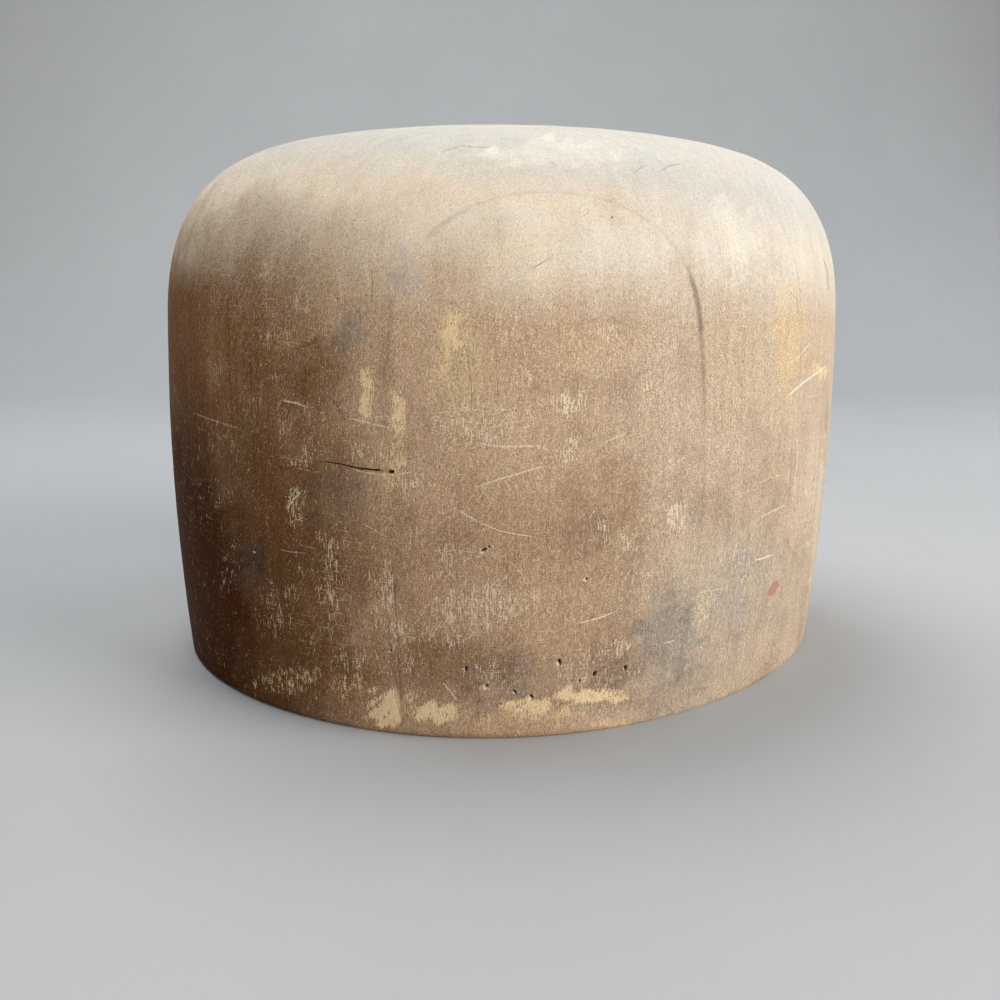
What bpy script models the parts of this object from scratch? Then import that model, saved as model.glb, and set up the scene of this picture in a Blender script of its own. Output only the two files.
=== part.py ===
"""Crown hat block: an oval wooden block, glued up from upright boards and carved to a rounded crown.

Units are metres and +Z is up. The block stands on its flat base, with the middle of the base at the
origin. Its long axis, the wearer's front to back, lies along X, with the narrower forehead end at +X.
The boards stand on edge along X, so every glue line is an upright plane square to Y. A round socket in
the base takes the spindle of a blocking stand.
"""

import math

import bmesh
import bpy

# The oval, measured where the walls are widest
BLOCK_LENGTH = 0.200
BLOCK_WIDTH = 0.174
FOREHEAD_NARROWING = 0.0062  # each side is this much narrower at the forehead end, and wider behind
DIAGONAL_TRIM = 0.0020  # how far the four diagonals are drawn in from a true ellipse

# The upright profile
BLOCK_HEIGHT = 0.145
CROWN_RISE = 0.049  # from the top of the walls to the middle of the crown
WIDEST_HEIGHT = 0.057
BASE_TUCK = 0.0024  # how far the wall draws in from the widest height down to the base
FOREHEAD_LIFT = 0.0005  # the crown is this much higher above the forehead end, and lower behind
CROWN_FLATNESS = 5.5  # power of the crown's curve along the radius: 2 is an ellipse, more is flatter
SHOULDER_FULLNESS = 2.6  # power of the crown's curve along its height
BASE_EDGE = 0.0008  # the small bevel round the base

# The boards
BOARD_THICKNESS = 0.01955
GLUE_LINE = 0.0003
THINNEST_CHEEK = 0.003  # an outer slice thinner than this is left on the board beside it

# The spindle socket
SPINDLE_DIAMETER = 0.0254
SPINDLE_CLEARANCE = 0.0004  # on the diameter
SOCKET_DEPTH = 0.060
SOCKET_MOUTH_BEVEL = 0.0015

# How finely the curves are cut
RING_POINTS = 96
WALL_ROWS = 8
CROWN_ROWS = 24
SOCKET_POINTS = 32
CUTTER_MARGIN = 0.010

half_length = BLOCK_LENGTH / 2
half_width = BLOCK_WIDTH / 2
wall_top = BLOCK_HEIGHT - CROWN_RISE
board_pitch = BOARD_THICKNESS + GLUE_LINE
# As many full boards as fit, odd or even in number, with a cheek outside them on each side
board_count = int(2 * (half_width - THINNEST_CHEEK) / board_pitch)
half_stack = board_count * board_pitch / 2
socket_radius = (SPINDLE_DIAMETER + SPINDLE_CLEARANCE) / 2


def clear_scene():
    for obj in list(bpy.data.objects):
        bpy.data.objects.remove(obj, do_unlink=True)
    for collection in list(bpy.data.collections):
        bpy.data.collections.remove(collection)


def new_collection(name):
    collection = bpy.data.collections.new(name)
    bpy.context.scene.collection.children.link(collection)
    return collection


def new_object(name, mesh, collection):
    obj = bpy.data.objects.new(name, mesh)
    collection.objects.link(obj)
    return obj


def wood(name, colour, roughness):
    material = bpy.data.materials.new(name)
    material.use_nodes = True
    shader = material.node_tree.nodes["Principled BSDF"]
    shader.inputs["Base Color"].default_value = (*colour, 1.0)
    shader.inputs["Roughness"].default_value = roughness
    shader.inputs["Metallic"].default_value = 0.0
    return material


# Profile of the block along its long axis


def wall_swell(height):
    """The barrel shape of the walls: 1 at the widest height, and a little less above and below it."""
    away = (height - WIDEST_HEIGHT) / WIDEST_HEIGHT
    return 1 - BASE_TUCK / half_length * away**2


def crown_point(turn):
    """(radius, height) on the crown's curve: turn 0 is the top of the wall, and a quarter turn the middle."""
    height = wall_top + CROWN_RISE * math.sin(turn) ** (2 / SHOULDER_FULLNESS)
    radius = half_length * max(math.cos(turn), 0.0) ** (2 / CROWN_FLATNESS) * wall_swell(height)
    return radius, height


def evenly_spaced(points, count):
    """The points at equal steps along the line through the given points, both ends included."""
    lengths = [0.0]
    for (x0, z0), (x1, z1) in zip(points, points[1:]):
        lengths.append(lengths[-1] + math.hypot(x1 - x0, z1 - z0))
    spaced = [points[0]]
    place = 0
    for step in range(1, count):
        target = lengths[-1] * step / count
        while lengths[place + 1] < target:
            place += 1
        share = (target - lengths[place]) / (lengths[place + 1] - lengths[place])
        (x0, z0), (x1, z1) = points[place], points[place + 1]
        spaced.append((x0 + share * (x1 - x0), z0 + share * (z1 - z0)))
    spaced.append(points[-1])
    return spaced


def crown_profile():
    """From the middle of the crown out and down to the top of the wall."""
    fine = 2000
    turns = [math.pi / 2 * (1 - (step / fine) ** 2) for step in range(fine + 1)]
    points = [crown_point(turn) for turn in turns]
    points[0] = (0.0, BLOCK_HEIGHT)
    return evenly_spaced(points, CROWN_ROWS)


def wall_profile():
    """From just under the top of the wall down to the base's bevel."""
    heights = [wall_top + (BASE_EDGE - wall_top) * row / WALL_ROWS for row in range(1, WALL_ROWS + 1)]
    return [(half_length * wall_swell(height), height) for height in heights]


def base_profile():
    """The bevel's lower edge, and the middle of the base."""
    return [(half_length * wall_swell(0.0) - BASE_EDGE, 0.0), (0.0, 0.0)]


# The whole block, before the boards are told apart


def to_oval(point):
    """Moves a point of the turned block on to the oval one."""
    turn = math.atan2(point.y, point.x)
    trim = 1 - DIAGONAL_TRIM / half_length * (1 - math.cos(4 * turn)) / 2
    point.x *= trim
    point.y *= trim * half_width / half_length
    towards_forehead = point.x / half_length
    point.y *= 1 - FOREHEAD_NARROWING / half_width * towards_forehead
    point.z += FOREHEAD_LIFT * towards_forehead * point.z / BLOCK_HEIGHT


def make_blank(collection):
    """The solid block, turned on a screw and then pressed to the oval."""
    profile = crown_profile() + wall_profile() + base_profile()
    line = bpy.data.meshes.new("blank_profile")
    corners = [(radius, 0.0, height) for radius, height in profile]
    line.from_pydata(corners, [(i, i + 1) for i in range(len(corners) - 1)], [])
    turned = new_object("blank_profile", line, collection)
    screw = turned.modifiers.new("turn", "SCREW")
    screw.steps = RING_POINTS
    screw.render_steps = RING_POINTS
    screw.use_merge_vertices = True
    screw.merge_threshold = 0.00001
    bpy.context.view_layer.update()
    graph = bpy.context.evaluated_depsgraph_get()
    mesh = bpy.data.meshes.new_from_object(turned.evaluated_get(graph))
    bpy.data.objects.remove(turned, do_unlink=True)
    mesh.name = "blank"
    for vertex in mesh.vertices:
        to_oval(vertex.co)
    solid = bmesh.new()
    solid.from_mesh(mesh)
    bmesh.ops.remove_doubles(solid, verts=solid.verts, dist=0.000001)
    bmesh.ops.recalc_face_normals(solid, faces=solid.faces)
    solid.to_mesh(mesh)
    solid.free()
    blank = new_object("blank", mesh, collection)
    as_cutter(blank)
    return blank


def as_cutter(obj):
    obj.hide_render = True
    obj.display_type = "WIRE"


def make_socket_cutter(collection):
    """The spindle socket, with a bevelled mouth, running out below the base."""
    mouth = socket_radius + SOCKET_MOUTH_BEVEL
    profile = [
        (0.0, SOCKET_DEPTH),
        (socket_radius, SOCKET_DEPTH),
        (socket_radius, SOCKET_MOUTH_BEVEL),
        (mouth, 0.0),
        (mouth, -CUTTER_MARGIN),
        (0.0, -CUTTER_MARGIN),
    ]
    line = bpy.data.meshes.new("spindle_socket")
    corners = [(radius, 0.0, height) for radius, height in profile]
    line.from_pydata(corners, [(i, i + 1) for i in range(len(corners) - 1)], [])
    cutter = new_object("spindle_socket", line, collection)
    screw = cutter.modifiers.new("turn", "SCREW")
    screw.steps = SOCKET_POINTS
    screw.render_steps = SOCKET_POINTS
    screw.use_merge_vertices = True
    screw.merge_threshold = 0.00001
    as_cutter(cutter)
    return cutter


# The boards


def make_board(name, near, far, blank, material, collection):
    """The part of the block between the upright planes y = near and y = far."""
    mesh = bpy.data.meshes.new(name)
    solid = bmesh.new()
    bmesh.ops.create_cube(solid, size=1.0)
    long = 2 * (half_length + CUTTER_MARGIN)
    tall = BLOCK_HEIGHT + 2 * CUTTER_MARGIN
    for vertex in solid.verts:
        vertex.co.x *= long
        vertex.co.y = (near + far) / 2 + vertex.co.y * (far - near)
        vertex.co.z = BLOCK_HEIGHT / 2 + vertex.co.z * tall
    solid.to_mesh(mesh)
    solid.free()
    board = new_object(name, mesh, collection)
    board.data.materials.append(material)
    shape = board.modifiers.new("block outline", "BOOLEAN")
    shape.operation = "INTERSECT"
    shape.solver = "EXACT"
    shape.object = blank
    return board


def cut_socket(board, cutter):
    cut = board.modifiers.new("spindle socket", "BOOLEAN")
    cut.operation = "DIFFERENCE"
    cut.solver = "EXACT"
    cut.object = cutter


def shade(board):
    """Applies the board's cuts, and shades its carved side smooth up to its sharp edges."""
    graph = bpy.context.evaluated_depsgraph_get()
    mesh = bpy.data.meshes.new_from_object(board.evaluated_get(graph))
    mesh.name = board.name
    board.modifiers.clear()
    board.data = mesh
    mesh.shade_smooth()
    mesh.set_sharp_from_angle(angle=math.radians(35))


def main():
    clear_scene()
    cutters = new_collection("cutters")
    block = new_collection("hat_block")
    board_wood = wood("board_wood", (0.36, 0.24, 0.15), 0.55)
    cheek_wood = wood("cheek_wood", (0.38, 0.25, 0.16), 0.55)
    blank = make_blank(cutters)
    socket = make_socket_cutter(cutters)
    reach = half_width + FOREHEAD_NARROWING + CUTTER_MARGIN

    boards = []
    for place in range(board_count):
        near = place * board_pitch - half_stack + GLUE_LINE / 2
        board = make_board(
            f"board_{place + 1}", near, near + BOARD_THICKNESS, blank, board_wood, block
        )
        if near < socket_radius + SOCKET_MOUTH_BEVEL and near + BOARD_THICKNESS > -(
            socket_radius + SOCKET_MOUTH_BEVEL
        ):
            cut_socket(board, socket)
        boards.append(board)

    outer_plane = half_stack + GLUE_LINE / 2
    boards.append(make_board("right_cheek", -reach, -outer_plane, blank, cheek_wood, block))
    boards.append(make_board("left_cheek", outer_plane, reach, blank, cheek_wood, block))
    bpy.context.view_layer.update()
    for board in boards:
        shade(board)


main()
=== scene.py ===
"""The looks of the crown hat block: worn wooden boards, their marks and stains, a pale floor and soft light.

Units are metres, in the frame of the CAD model: +Z is up, X is the long axis, with the forehead end at +X.
The camera stands where the photograph was taken from, in front of the -Y side. Places in the photograph
are pixels of its 1000 x 1000 frame, counted from the top left corner.
"""

import math
from types import SimpleNamespace

import bmesh
import bpy
import numpy as np
from mathutils import Matrix, Vector


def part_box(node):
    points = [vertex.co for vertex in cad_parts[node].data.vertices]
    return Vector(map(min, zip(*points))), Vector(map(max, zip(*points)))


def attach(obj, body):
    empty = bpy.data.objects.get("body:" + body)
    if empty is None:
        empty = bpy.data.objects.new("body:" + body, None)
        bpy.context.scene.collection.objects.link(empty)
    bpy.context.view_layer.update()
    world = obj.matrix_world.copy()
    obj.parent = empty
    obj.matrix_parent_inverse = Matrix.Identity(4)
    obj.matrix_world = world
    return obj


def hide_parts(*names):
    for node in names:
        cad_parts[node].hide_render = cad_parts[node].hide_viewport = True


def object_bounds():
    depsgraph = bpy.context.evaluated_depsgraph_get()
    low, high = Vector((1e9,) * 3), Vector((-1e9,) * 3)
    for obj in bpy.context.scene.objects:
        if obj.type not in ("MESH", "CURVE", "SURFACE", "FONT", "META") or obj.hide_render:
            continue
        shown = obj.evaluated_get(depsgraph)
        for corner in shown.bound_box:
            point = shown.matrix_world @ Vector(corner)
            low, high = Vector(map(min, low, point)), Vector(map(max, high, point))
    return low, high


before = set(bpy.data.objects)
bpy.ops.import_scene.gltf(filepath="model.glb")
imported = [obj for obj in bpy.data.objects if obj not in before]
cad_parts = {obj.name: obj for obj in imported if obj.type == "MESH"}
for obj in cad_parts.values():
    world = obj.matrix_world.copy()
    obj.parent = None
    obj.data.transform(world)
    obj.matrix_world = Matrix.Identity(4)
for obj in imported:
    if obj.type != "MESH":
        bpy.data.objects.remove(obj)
cad_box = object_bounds()  # before anything is added, so this is the box of the CAD model

MM = 0.001

# The block's size, from the frame. It was drawn in whole millimetres, and its boards in hundredths of one.
BLOCK_LENGTH, BLOCK_WIDTH, BLOCK_HEIGHT = (round(high - low, 3) for low, high in zip(*cad_box))
BOARD_COUNT = sum(name.startswith("board_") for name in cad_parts)
BOARD_PITCH = round(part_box("board_2")[0].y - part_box("board_1")[0].y, 5)

# Its shape, with the same values as in the CAD source
FOREHEAD_NARROWING = 0.0062
DIAGONAL_TRIM = 0.0020
CROWN_RISE = 0.049
WIDEST_HEIGHT = 0.057
BASE_TUCK = 0.0024
FOREHEAD_LIFT = 0.0005
CROWN_FLATNESS = 5.5
SHOULDER_FULLNESS = 2.6
BASE_EDGE = 0.0008
SOCKET_RADIUS = 0.0129
SOCKET_MOUTH_BEVEL = 0.0015
SOCKET_DEPTH = 0.060

# How finely the surface is cut
NEAR_STEP = 0.0009  # round the side that faces the camera
FAR_STEP = 0.0013  # round the other sides
WALL_STEP = 0.0010
CROWN_STEP = 0.0012
FINEST_STEP = 0.00007  # beside a mark
NEAR_SIDE = 1.25  # radians either way from the middle of the near side
RING_MULTIPLE = 16  # a ring's corners can be halved four times on the way up the crown
CROWDED = 2.2  # a ring is halved where it has this many times the corners that NEAR_STEP asks for
BASE_RINGS = 24
WALL_SAMPLES = 400  # of the profile's curve, before it is evened out
CROWN_SAMPLES = 4000
SHARP_ANGLE = math.radians(40)
MARK_REACHES = (1.6, 0.9, 0.5, 0.25)  # pixels from a mark, for each round of splitting beside it

# The wood's joints and wear
JOINT_GAP = 0.00004  # between two boards, under the glue
JOINT_DIP = 0.00006  # how far a board's edge is worn down at a glue line
JOINT_DIP_REACH = 0.00055
UNEVENNESS = 0.00016  # left by the rasp, from the highest places to the lowest
BROAD_WAVES = (0.022, 0.028, 0.035, 0.045, 0.060)  # of the unevenness, from crest to crest
SHORT_WAVES = (0.009, 0.011, 0.014)
HOLE_DEPTH = 0.9 * MM
CHIP_DEPTH = 0.10 * MM
BARE_DEPTH = 0.08 * MM

# The camera, from a fit to the outline and glue lines in the photograph
CAMERA_PLACE = Vector((-0.05219, -0.29060, 0.10677))
CAMERA_YAW = 0.1701
CAMERA_PITCH = 0.2258
CAMERA_ROLL = 0.0107
FOCAL_PIXELS = 952.86
PHOTO_SIZE = 1000
SENSOR_WIDTH = 36.0
NEAREST_SEEN = 0.01
FARTHEST_SEEN = 20.0

half_length = BLOCK_LENGTH / 2
half_width = BLOCK_WIDTH / 2
wall_top = BLOCK_HEIGHT - CROWN_RISE
outer_plane = BOARD_COUNT * BOARD_PITCH / 2


# The camera


def camera_axes():
    """(right, up, forward) of the camera in the block's frame."""
    across = Vector((math.cos(CAMERA_YAW), -math.sin(CAMERA_YAW), 0.0))
    level = Vector((math.sin(CAMERA_YAW), math.cos(CAMERA_YAW), 0.0))
    forward = level * math.cos(CAMERA_PITCH) - Vector((0.0, 0.0, math.sin(CAMERA_PITCH)))
    rise = level * math.sin(CAMERA_PITCH) + Vector((0.0, 0.0, math.cos(CAMERA_PITCH)))
    right = across * math.cos(CAMERA_ROLL) + rise * math.sin(CAMERA_ROLL)
    up = rise * math.cos(CAMERA_ROLL) - across * math.sin(CAMERA_ROLL)
    return right, up, forward


def photo_places(points):
    """Where the points are in the photograph: their pixel columns and rows."""
    right, up, forward = (np.array(axis) for axis in camera_axes())
    away = points - np.array(CAMERA_PLACE)
    depth = away @ forward
    column = PHOTO_SIZE / 2 + FOCAL_PIXELS * (away @ right) / depth
    row = PHOTO_SIZE / 2 - FOCAL_PIXELS * (away @ up) / depth
    return column, row


def add_camera():
    right, up, forward = camera_axes()
    data = bpy.data.cameras.new("camera")
    data.sensor_width = SENSOR_WIDTH
    data.lens = SENSOR_WIDTH * FOCAL_PIXELS / PHOTO_SIZE
    data.clip_start = NEAREST_SEEN
    data.clip_end = FARTHEST_SEEN
    camera = bpy.data.objects.new("camera", data)
    axes = Matrix((right, up, -forward)).transposed()
    camera.matrix_world = Matrix.Translation(CAMERA_PLACE) @ axes.to_4x4()
    bpy.context.scene.collection.objects.link(camera)
    bpy.context.scene.camera = camera


# The block's surface, as in the CAD source


def wall_swell(height):
    return 1 - BASE_TUCK / half_length * ((height - WIDEST_HEIGHT) / WIDEST_HEIGHT) ** 2


def evenly_spaced(radius, height, step):
    """Points about a step apart along the line through the given ones, both ends included."""
    run = np.concatenate([[0.0], np.cumsum(np.hypot(np.diff(radius), np.diff(height)))])
    places = np.linspace(0.0, run[-1], int(round(run[-1] / step)) + 1)
    return np.interp(places, run, radius), np.interp(places, run, height)


def side_profile():
    """(radius, height) from the base's edge up the wall and over to the middle of the crown."""
    wall_heights = np.linspace(BASE_EDGE, wall_top, WALL_SAMPLES)
    wall_radii = half_length * wall_swell(wall_heights)
    wall = evenly_spaced(wall_radii, wall_heights, WALL_STEP)
    turn = math.pi / 2 * np.linspace(0.0, 1.0, CROWN_SAMPLES) ** 1.5
    height = wall_top + CROWN_RISE * np.sin(turn) ** (2 / SHOULDER_FULLNESS)
    radius = half_length * np.maximum(np.cos(turn), 0.0) ** (2 / CROWN_FLATNESS) * wall_swell(height)
    radius[-1] = 0.0
    crown = evenly_spaced(radius, height, CROWN_STEP)
    edge = (half_length * wall_swell(0.0) - BASE_EDGE, 0.0)
    radii = np.concatenate([[edge[0]], wall[0], crown[0][1:]])
    heights = np.concatenate([[edge[1]], wall[1], crown[1][1:]])
    return radii, heights


def to_oval(points):
    """Moves points of the turned block on to the oval one."""
    turn = np.arctan2(points[:, 1], points[:, 0])
    trim = 1 - DIAGONAL_TRIM / half_length * (1 - np.cos(4 * turn)) / 2
    x = points[:, 0] * trim
    y = points[:, 1] * trim * half_width / half_length
    towards_forehead = x / half_length
    y = y * (1 - FOREHEAD_NARROWING / half_width * towards_forehead)
    z = points[:, 2] * (1 + FOREHEAD_LIFT * towards_forehead / BLOCK_HEIGHT)
    return np.stack([x, y, z], axis=1)


def ring_turns():
    """The angles of the upright lines on the surface: close together on the near side."""
    near_count = int(NEAR_SIDE * half_length / NEAR_STEP)
    far_count = int((math.pi - NEAR_SIDE) * half_length / FAR_STEP)
    near_count += -near_count % RING_MULTIPLE
    far_count += -far_count % RING_MULTIPLE
    middle = -math.pi / 2
    near = np.linspace(middle - NEAR_SIDE, middle + NEAR_SIDE, 2 * near_count + 1)[:-1]
    far = np.linspace(middle + NEAR_SIDE, middle + 2 * math.pi - NEAR_SIDE, 2 * far_count + 1)[:-1]
    return np.concatenate([near, far])


class Surface:
    """Corners and faces, added ring by ring. A triangle has its last corner twice."""

    def __init__(self):
        self.rings = []
        self.faces = []
        self.count = 0

    def ring(self, points):
        """Adds a ring of corners and gives their numbers."""
        self.rings.append(points)
        numbers = np.arange(self.count, self.count + len(points))
        self.count += len(points)
        return numbers

    def add(self, *sides):
        self.faces.append(np.stack(sides if len(sides) == 4 else (*sides, sides[-1]), axis=1))

    def join(self, lower, upper):
        """Faces between two rings. The upper one has as many corners as the lower, or half as many."""
        after = np.roll(upper, -1)
        if len(upper) == len(lower):
            self.add(lower, np.roll(lower, -1), after, upper)
            return
        first, middle, last = lower[0::2], lower[1::2], np.roll(lower, -2)[0::2]
        self.add(first, middle, upper)
        self.add(middle, after, upper)
        self.add(middle, last, after)

    def close(self, ring, tip):
        """Faces from a ring to one point."""
        centre = np.full(len(ring), self.ring(np.array([tip]))[0])
        self.add(ring, np.roll(ring, -1), centre)


def block_surface():
    """The whole block as (corners, faces, outward directions): walls, crown, base and spindle socket."""
    turns = ring_turns()
    radii, heights = side_profile()
    surface = Surface()
    kept = turns
    lower = None
    for radius, height in zip(radii[:-1], heights[:-1]):
        crowded = len(kept) > CROWDED * 2 * math.pi * radius / NEAR_STEP
        if height > wall_top and crowded and len(kept) % 2 == 0:
            kept = kept[::2]
        turned = np.stack([radius * np.cos(kept), radius * np.sin(kept), np.full(len(kept), height)], axis=1)
        upper = surface.ring(to_oval(turned))
        if lower is None:
            outer = upper
        else:
            surface.join(lower, upper)
        lower = upper
    surface.close(lower, (0.0, 0.0, BLOCK_HEIGHT))

    # The base, from its edge in to the socket, and the socket itself
    edge = surface.rings[0]
    mouth = SOCKET_RADIUS + SOCKET_MOUTH_BEVEL
    directions = np.stack([np.cos(turns), np.sin(turns), np.zeros(len(turns))], axis=1)
    for share in np.linspace(0.0, 1.0, BASE_RINGS + 1)[1:]:
        inner = surface.ring(edge + share * (mouth * directions - edge))
        surface.join(inner, outer)
        outer = inner
    for height in (SOCKET_MOUTH_BEVEL, SOCKET_DEPTH):
        inner = surface.ring(SOCKET_RADIUS * directions + np.array([0.0, 0.0, height]))
        surface.join(inner, outer)
        outer = inner
    centre = np.full(len(outer), surface.ring(np.array([[0.0, 0.0, SOCKET_DEPTH]]))[0])
    surface.add(np.roll(outer, -1), outer, centre)
    corners = np.concatenate(surface.rings)
    quads = np.concatenate(surface.faces)
    return corners, quads, outward_directions(corners, quads)


def outward_directions(corners, quads):
    """The surface's outward direction at each corner, on the mean of its faces."""
    ends = corners[quads]
    across = np.cross(ends[:, 2] - ends[:, 0], ends[:, 3] - ends[:, 1])
    outward = np.zeros_like(corners)
    for place in range(4):
        np.add.at(outward, quads[:, place], across)
    return outward / np.maximum(np.linalg.norm(outward, axis=1, keepdims=True), 1e-20)


# Marks that the photograph shows, each at its pixels

# Lines cut or scratched into the wood: the points they pass, width in pixels, depth in mm, and how pale
SCRATCHES = {
    "level_1": (((444, 408), (486, 411), (518, 409)), 2.6, 0.0, 0.40),
    "level_2": (((452, 421), (494, 424), (530, 420)), 2.4, 0.0, 0.38),
    "level_3": (((474, 444), (510, 447), (544, 446)), 3.0, 0.0, 0.50),
    "level_4": (((430, 432), (470, 436), (500, 433)), 2.0, 0.0, 0.30),
    "crown_1": (((271, 160), (277, 170)), 1.2, 0.02, 0.6),
    "crown_2": (((384, 152), (398, 166)), 1.2, 0.02, 0.45),
    "crown_3": (((392, 150), (408, 166)), 1.2, 0.02, 0.45),
    "crown_4": (((404, 152), (420, 169)), 1.2, 0.02, 0.45),
    "long_one": (((476, 487), (500, 479), (524, 472), (547, 465)), 1.1, 0.10, 1.0),
    "curved": (((453, 507), (465, 514), (479, 522), (500, 531), (520, 535), (538, 537)), 1.0, 0.07, 0.8),
    "curved_start": (((446, 488), (447, 500), (449, 510)), 0.9, 0.05, 0.5),
    "below_nick": (((496, 551), (507, 559), (516, 567), (527, 582)), 0.9, 0.05, 0.55),
    "nick_tail": (((464, 552), (478, 552)), 0.9, 0.05, 0.6),
    "u_mark_left": (((409, 525), (411, 535), (410, 548)), 0.9, 0.04, 0.6),
    "u_mark_right": (((416, 524), (417, 533), (415, 545)), 0.9, 0.04, 0.5),
    "lower_right": (((577, 624), (597, 619), (618, 611)), 1.1, 0.08, 0.9),
    "lower_right_2": (((606, 622), (616, 614)), 0.8, 0.04, 0.4),
    "lower_left": (((443, 683), (450, 691), (457, 700)), 1.1, 0.07, 0.8),
    "middle_level_1": (((497, 446), (520, 446), (545, 445)), 1.4, 0.03, 0.45),
    "middle_level_2": (((470, 412), (490, 414), (512, 412)), 2.0, 0.02, 0.35),
    "middle_level_3": (((438, 413), (447, 411), (456, 412)), 1.2, 0.04, 0.5),
    "right_short": (((603, 443), (615, 438), (628, 433)), 1.1, 0.06, 0.7),
    "right_short_upright": (((613, 430), (615, 441), (616, 452)), 0.9, 0.04, 0.35),
    "right_rising": (((652, 478), (668, 468), (687, 456)), 1.0, 0.05, 0.6),
    "far_right_1": (((761, 517), (773, 511), (786, 505)), 1.3, 0.05, 0.6),
    "far_right_2": (((707, 501), (730, 496), (756, 489)), 1.3, 0.03, 0.35),
    "far_right_3": (((753, 485), (770, 478), (784, 474)), 1.2, 0.04, 0.4),
    "right_edge": (((786, 398), (806, 381), (828, 365)), 1.8, 0.10, 0.9),
    "right_edge_2": (((787, 364), (798, 358), (811, 343)), 1.2, 0.05, 0.6),
    "right_edge_3": (((797, 420), (798, 460), (793, 497)), 1.5, 0.03, 0.5),
    "right_edge_4": (((791, 430), (790, 455), (788, 490)), 1.2, 0.03, 0.4),
    "right_lower": (((700, 591), (715, 590), (730, 587)), 1.2, 0.05, 0.5),
    "right_lower_2": (((755, 560), (764, 558), (774, 554)), 1.8, 0.06, 0.8),
    "right_lower_3": (((734, 561), (735, 551), (738, 543)), 1.0, 0.05, 0.6),
    "right_lower_4": (((665, 643), (670, 642), (676, 640)), 1.1, 0.05, 0.8),
    "right_lower_5": (((683, 636), (685, 646), (684, 656)), 1.0, 0.04, 0.4),
    "left_1": (((281, 400), (296, 403), (308, 408)), 1.5, 0.08, 0.75),
    "left_2": (((348, 418), (365, 422), (390, 428)), 1.4, 0.08, 0.75),
    "left_2_branch": (((362, 423), (373, 418), (384, 416)), 1.0, 0.04, 0.5),
    "left_faint": (((190, 412), (215, 421), (243, 430)), 1.3, 0.04, 0.4),
    "left_upright": (((367, 250), (368, 272), (370, 302)), 1.1, 0.05, 0.6),
    "left_upright_2": (((387, 228), (388, 238), (390, 247)), 1.2, 0.05, 0.55),
    "left_lower_1": (((361, 523), (372, 529), (386, 537)), 1.0, 0.05, 0.55),
    "left_lower_2": (((278, 549), (290, 552), (305, 553)), 1.0, 0.04, 0.5),
    "left_lower_3": (((297, 543), (307, 547), (316, 549)), 0.9, 0.04, 0.4),
    "left_strokes_1": (((287, 509), (293, 500), (301, 491)), 1.5, 0.05, 0.7),
    "left_strokes_2": (((288, 499), (294, 492), (298, 487)), 1.2, 0.05, 0.6),
    "left_strokes_3": (((289, 524), (295, 519), (303, 521)), 1.2, 0.05, 0.6),
    "shoulder_1": (((552, 255), (568, 254), (586, 254)), 0.9, 0.04, 0.35),
    "shoulder_2": (((572, 262), (585, 261), (598, 262)), 0.9, 0.04, 0.35),
    "shoulder_3": (((617, 258), (632, 270), (654, 293)), 1.0, 0.05, 0.55),
    "shoulder_4": (((466, 254), (469, 262), (471, 267)), 1.0, 0.04, 0.45),
    "shoulder_5": (((731, 232), (733, 255), (735, 284)), 2.8, 0.03, 0.55),
    "shoulder_6": (((744, 234), (745, 258), (739, 282)), 2.4, 0.03, 0.5),
    "top_left_1": (((292, 288), (297, 297), (295, 310)), 1.1, 0.05, 0.5),
    "top_left_2": (((303, 287), (308, 299), (306, 311)), 1.0, 0.05, 0.5),
    "gouge_lip": (((352, 470), (375, 474), (395, 475), (417, 471)), 1.0, 0.02, 0.7),
    "above_gouge_1": (((277, 457), (290, 459), (303, 458)), 1.0, 0.03, 0.4),
    "above_gouge_2": (((295, 468), (312, 471), (330, 474)), 0.9, 0.03, 0.35),
    "below_gouge": (((392, 483), (405, 484), (418, 485)), 1.0, 0.03, 0.35),
    "fan_1": (((396, 283), (404, 296), (416, 312)), 0.9, 0.04, 0.5),
    "fan_2": (((402, 279), (414, 297), (426, 314)), 0.9, 0.04, 0.5),
    "fan_3": (((409, 277), (420, 292), (433, 308)), 0.9, 0.04, 0.45),
    "fan_4": (((388, 322), (400, 333), (412, 345)), 0.9, 0.04, 0.4),
    "fan_5": (((412, 324), (420, 333), (427, 344)), 1.1, 0.04, 0.5),
    "fan_6": (((418, 320), (427, 331), (434, 342)), 1.0, 0.04, 0.5),
    "fan_7": (((424, 320), (421, 330), (415, 343)), 0.9, 0.04, 0.4),
    "fan_8": (((414, 276), (426, 292), (438, 306)), 0.8, 0.03, 0.35),
}

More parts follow.
